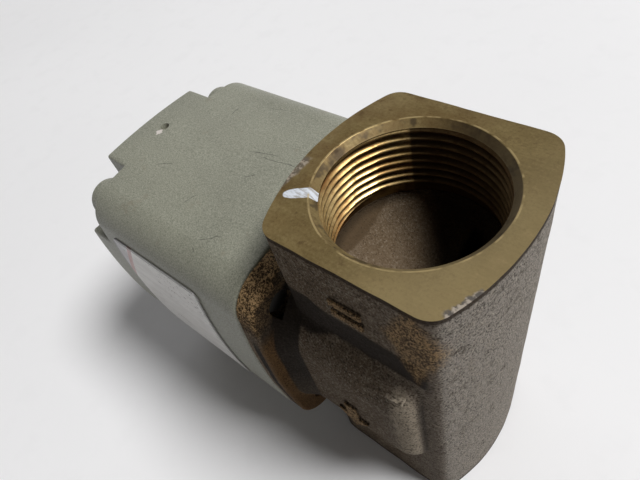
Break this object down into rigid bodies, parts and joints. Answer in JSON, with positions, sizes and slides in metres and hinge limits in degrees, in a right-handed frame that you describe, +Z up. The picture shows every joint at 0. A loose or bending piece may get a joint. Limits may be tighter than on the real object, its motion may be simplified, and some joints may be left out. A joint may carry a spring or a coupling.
{
  "type": "air-operated two-port shut-off valve",
  "caption": "Two-port cast bronze shut-off valve with female pipe threads, opened by an air piston in a square side casing and closed by a spring.",
  "frame": {"origin": "centre of the lower port's mouth, on the face the valve stands on", "axes": "+Z up along the port axis to the upper port, the actuator casing points along -X, +Y towards the side with the air port"},
  "size_m": [0.1296, 0.0755, 0.11],
  "materials": {
    "cast_bronze": "sand cast, with machined port faces",
    "painted_aluminium": "grey-green satin paint, fine texture",
    "painted_steel": "painted cap screws",
    "bare_aluminium": "machined",
    "stainless": "turned",
    "spring_steel": "drawn wire",
    "pressed_steel": "zinc plated",
    "gland_brass": "turned",
    "bush_bronze": "sintered bronze",
    "white_ptfe": "smooth",
    "bronze_ptfe": "smooth",
    "grey_gasket": "pressed sheet",
    "black_nitrile": "moulded",
    "green_wiper": "moulded",
    "plate_white": "printed plate, left blank but for a thin red stripe"
  },
  "bodies": {
    "valve": {"valve_body": "cast_bronze", "seat_ring": "stainless", "seat_gasket": "grey_gasket", "bonnet": "bare_aluminium", "bonnet_body_seal": "black_nitrile", "bonnet_cylinder_seal": "black_nitrile", "wiper_ring": "green_wiper", "stem_bush": "bush_bronze", "packing_springs": "spring_steel", "packing_washer": "gland_brass", "packing_rings": "white_ptfe", "gland_nut": "gland_brass", "return_spring": "spring_steel", "spring_plate": "pressed_steel", "cylinder_casing": "painted_aluminium", "casing_screws": "painted_steel", "vent_filter": "bush_bronze", "name_plate": "plate_white"},
    "spindle": {"stem": "stainless", "disc_holder": "stainless", "disc_seal": "white_ptfe", "disc_washer": "stainless", "disc_nut": "stainless", "piston": "bare_aluminium", "piston_seal": "black_nitrile", "piston_wear_ring": "bronze_ptfe", "piston_hub_seal": "black_nitrile", "piston_washer": "stainless", "piston_nut": "stainless"}
  },
  "joints": [
    {"name": "spindle_lift", "type": "slide", "parent": "valve", "child": "spindle", "axis": [-1, 0, 0], "range_m": [0, 0.01], "stiffness_N_per_m": 12000, "springref_m": -0.015, "deforming": ["return_spring"]}
  ]
}
